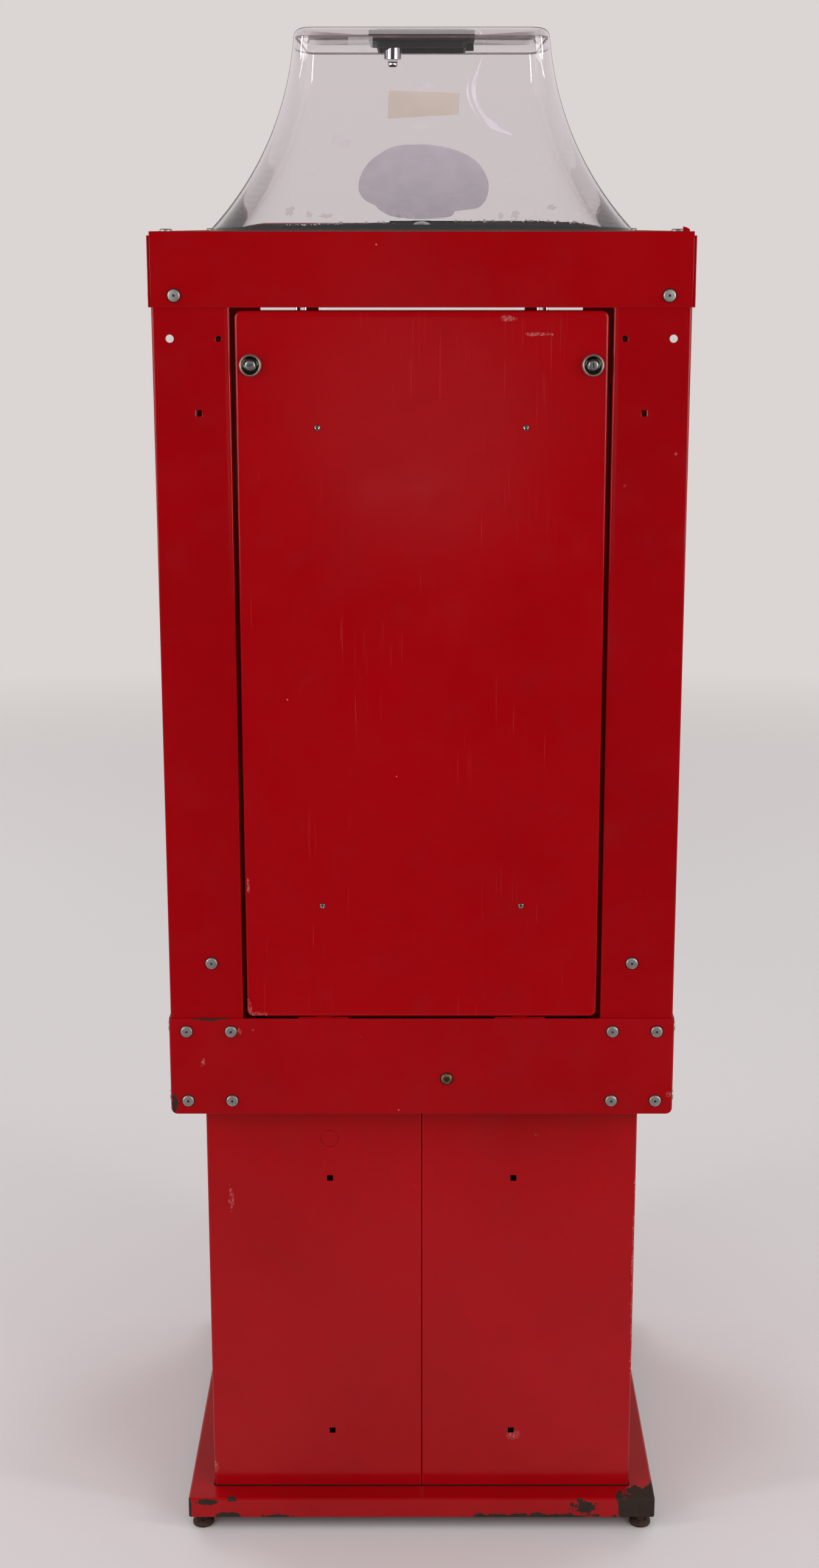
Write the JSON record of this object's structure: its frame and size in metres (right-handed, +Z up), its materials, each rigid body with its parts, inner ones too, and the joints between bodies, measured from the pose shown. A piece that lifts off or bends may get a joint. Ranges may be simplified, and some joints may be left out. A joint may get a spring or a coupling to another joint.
{
  "type": "gumball vending machine",
  "caption": "Tall square sheet-steel gumball machine: clear hopper dome, windowed cabinet with a spiral ball track, rear service door, pedestal base.",
  "frame": {"origin": "centre of the bounding box, on the floor under the levelling feet", "axes": "+Z up; the customer's front with the coin handle faces -Y; the rear service door faces +Y; +X is to the right of someone who faces the front"},
  "size_m": [0.6114, 0.6456, 1.832],
  "materials": {
    "red_paint": "red powder coat, semi-gloss",
    "zinc_steel": "bright zinc plate",
    "chrome": "polished chrome",
    "clear_plastic": "clear moulded polycarbonate",
    "black_plastic": "moulded black",
    "white_plastic": "glossy moulded",
    "black_foam": "closed-cell foam strip"
  },
  "bodies": {
    "root": {"leveling_feet": "zinc_steel", "base_pan": "red_paint", "right_pedestal_shell": "red_paint", "left_pedestal_shell": "red_paint", "cabinet_floor": "red_paint", "lower_skirt": "red_paint", "rear_lower_band": "red_paint", "right_rear_column": "red_paint", "left_rear_column": "red_paint", "right_front_post": "red_paint", "left_front_post": "red_paint", "front_window": "clear_plastic", "right_window": "clear_plastic", "left_window": "clear_plastic", "floor_rails": "zinc_steel", "display_floor": "red_paint", "rear_collar_band": "red_paint", "collar_skirt": "red_paint", "hopper_deck": "black_plastic", "top_frame": "red_paint", "dome_gasket": "black_foam", "dome": "clear_plastic", "rear_bolts": "zinc_steel", "cabinet_bolts": "zinc_steel", "wheel_deck": "zinc_steel", "wheel_spindle": "zinc_steel", "pocket_guard": "black_plastic", "drop_tube": "clear_plastic", "track_section_1": "white_plastic", "track_section_2": "white_plastic", "track_section_3": "white_plastic", "track_stays": "chrome", "track_clips": "zinc_steel", "exit_chute": "white_plastic", "chute_frame": "chrome", "coin_plate": "chrome", "coin_mech_body": "zinc_steel", "rod_bushes": "zinc_steel", "cash_tray": "zinc_steel", "door_hinges": "red_paint", "door_keeps": "red_paint"},
    "rear_door": {"door_panel": "red_paint", "door_hinge_leaves": "red_paint", "door_stiffeners": "zinc_steel", "door_rivets": "red_paint", "door_lock_bodies": "chrome"},
    "right_door_lock": {"right_lock_plug": "chrome"},
    "left_door_lock": {"left_lock_plug": "chrome"},
    "lid": {"fill_lid": "black_plastic", "lid_lock_body": "chrome"},
    "lid_lock": {"lid_lock_cam": "chrome"},
    "coin_drive": {"coin_handle": "chrome", "coin_shaft": "zinc_steel", "coin_gear": "zinc_steel"},
    "rod_drive": {"drive_rod": "chrome", "crown_gear": "zinc_steel", "rod_pinion": "zinc_steel"},
    "wheel": {"dispensing_wheel": "black_plastic", "ring_gear": "white_plastic"},
    "flap": {"chute_flap": "chrome"}
  },
  "joints": [
    {"name": "wheel_turn", "type": "hinge", "parent": "root", "child": "wheel", "pos_m": [0, 0.01725, 1.585], "axis": [0, 0, -1], "continuous": true},
    {"name": "rod_turn", "type": "hinge", "parent": "root", "child": "rod_drive", "pos_m": [0.14171, -0.14577, 1.1], "axis": [0, 0, 1], "continuous": true},
    {"name": "handle_turn", "type": "hinge", "parent": "root", "child": "coin_drive", "pos_m": [0.14171, -0.28275, 0.626], "axis": [0, 1, 0], "continuous": true},
    {"name": "door_open", "type": "hinge", "parent": "root", "child": "rear_door", "pos_m": [0, 0.31525, 0.686], "axis": [-1, 0, 0], "range_deg": [0, 35]},
    {"name": "right_lock_turn", "type": "hinge", "parent": "rear_door", "child": "right_door_lock", "pos_m": [0.191, 0.30725, 1.455], "axis": [0, -1, 0], "range_deg": [0, 90]},
    {"name": "left_lock_turn", "type": "hinge", "parent": "rear_door", "child": "left_door_lock", "pos_m": [-0.191, 0.30725, 1.455], "axis": [0, 1, 0], "range_deg": [0, 90]},
    {"name": "lid_lift", "type": "slide", "parent": "root", "child": "lid", "axis": [0, 0, 1], "range_m": [0, 0.15]},
    {"name": "lid_lock_turn", "type": "hinge", "parent": "lid", "child": "lid_lock", "pos_m": [0.035, 0.01725, 1.8], "axis": [0, 0, 1], "range_deg": [0, 90]},
    {"name": "flap_swing", "type": "hinge", "parent": "root", "child": "flap", "pos_m": [-0.032, -0.29275, 0.63967], "axis": [-1, 0, 0], "range_deg": [0, 75]}
  ],
  "couplings": [
    {"joint": "rod_turn", "follows": "wheel_turn", "ratio": 8},
    {"joint": "handle_turn", "follows": "wheel_turn", "ratio": 16}
  ]
}
